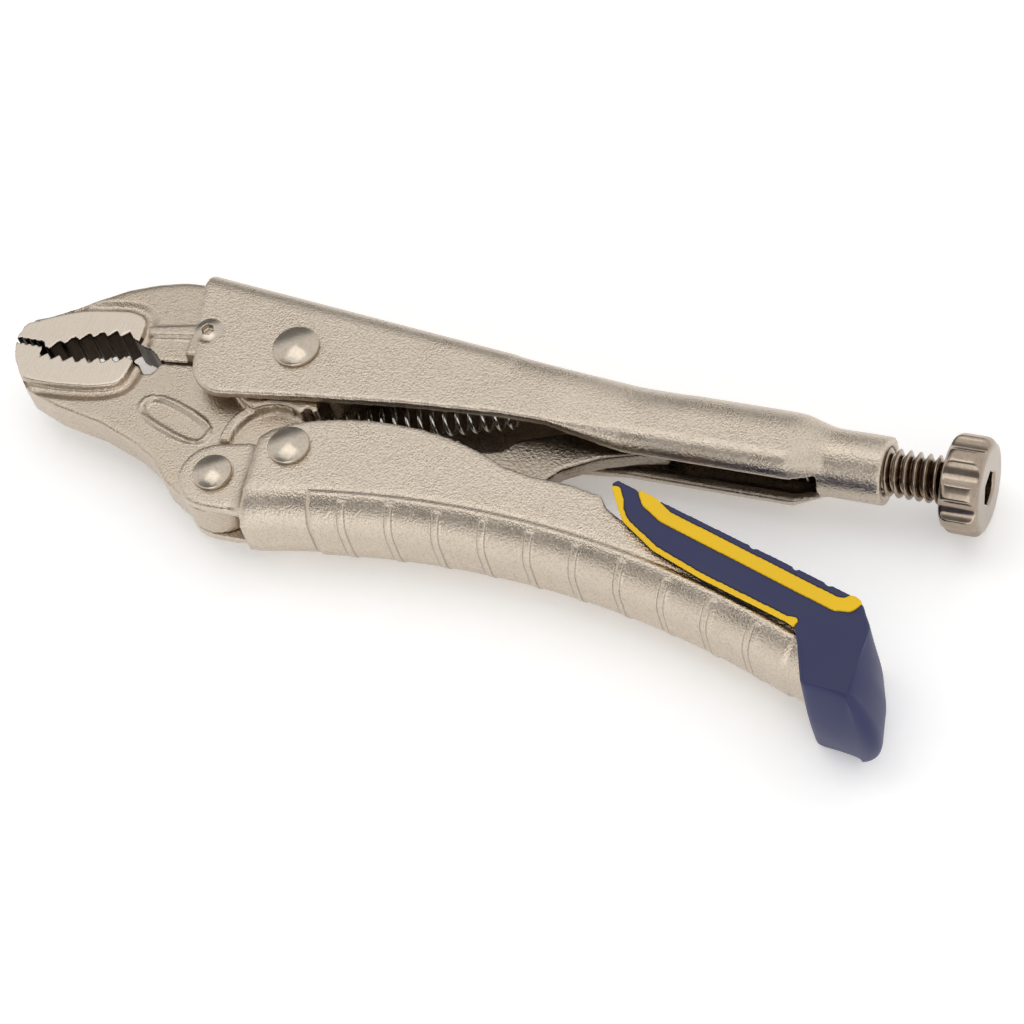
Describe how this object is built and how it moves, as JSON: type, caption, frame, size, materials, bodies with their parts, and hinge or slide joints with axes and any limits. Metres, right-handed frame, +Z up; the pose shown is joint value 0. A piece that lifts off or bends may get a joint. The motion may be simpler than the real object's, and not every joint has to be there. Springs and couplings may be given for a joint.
{
  "type": "locking pliers",
  "caption": "Small curved-jaw locking pliers with wire cutter, pressed steel handles, toggle link, adjusting screw and a release lever with a blue and yellow grip.",
  "frame": {"origin": "middle of the tool's box in plan, on the plane the tool rests on when it lies on its side", "axes": "+X along the adjusting screw towards the knob, +Y from the lower handle towards the back of the fixed handle, +Z up across the tool's thickness"},
  "size_m": [0.1336, 0.0494, 0.015],
  "materials": {
    "handles": "satin nickel plate on pressed steel with a fine pebbled skin",
    "jaws": "satin nickel plate on forged steel, nose ground bright",
    "rivets": "smooth plated rivet heads",
    "link": "plated sheet with a coarse pebbled skin",
    "lever_steel": "plain plated steel",
    "yellow_plastic": "moulded yellow plastic",
    "blue_plastic": "soft moulded blue-violet plastic",
    "spring_wire": "bright drawn wire",
    "screw_steel": "plated turned steel, glossier than the handles"
  },
  "bodies": {
    "fixed_side": {"fixed_handle": "handles", "fixed_jaw": "jaws", "jaw_fixing_rivet": "rivets", "jaw_pivot_rivet": "rivets", "return_spring": "spring_wire"},
    "jaw": {"moving_jaw": "jaws"},
    "handle": {"lower_handle": "handles", "handle_pivot_rivet": "rivets", "link_pivot_rivet": "rivets", "lever_pivot_pin": "lever_steel"},
    "link": {"toggle_link": "link"},
    "lever": {"release_lever": "lever_steel", "grip_base": "yellow_plastic", "grip_cover": "blue_plastic"},
    "screw": {"adjusting_screw": "screw_steel"},
    "knob": {"adjusting_knob": "screw_steel"}
  },
  "joints": [
    {"name": "jaw_pivot", "type": "hinge", "parent": "fixed_side", "child": "jaw", "pos_m": [-0.02555, 0.01408, 0.0075], "axis": [0, 0, 1], "range_deg": [0, 20], "deforming": ["return_spring"]},
    {"name": "handle_pivot", "type": "hinge", "parent": "jaw", "child": "handle", "pos_m": [-0.03035, -0.00562, 0.0075], "axis": [0, 0, 1], "range_deg": [-87.4, 0]},
    {"name": "link_pivot", "type": "hinge", "parent": "handle", "child": "link", "pos_m": [-0.02075, -0.00093, 0.0075], "axis": [0, 0, 1], "range_deg": [0, 82.9]},
    {"name": "lever_pivot", "type": "hinge", "parent": "handle", "child": "lever", "pos_m": [0.02195, -0.00392, 0.0075], "axis": [0, 0, 1], "range_deg": [-2.5, 0]},
    {"name": "screw_advance", "type": "slide", "parent": "fixed_side", "child": "screw", "axis": [1, 0, 0], "range_m": [0, 0.01]},
    {"name": "knob_turn", "type": "hinge", "parent": "screw", "child": "knob", "pos_m": [0.06445, 0.01408, 0.0075], "axis": [1, 0, 0], "range_deg": [0, 2835]}
  ],
  "couplings": [
    {"joint": "jaw_pivot", "follows": "handle_pivot", "ratio": -0.22883},
    {"joint": "link_pivot", "follows": "handle_pivot", "ratio": -0.94851},
    {"joint": "knob_turn", "follows": "screw_advance", "rad_per_m": 4947.4}
  ]
}
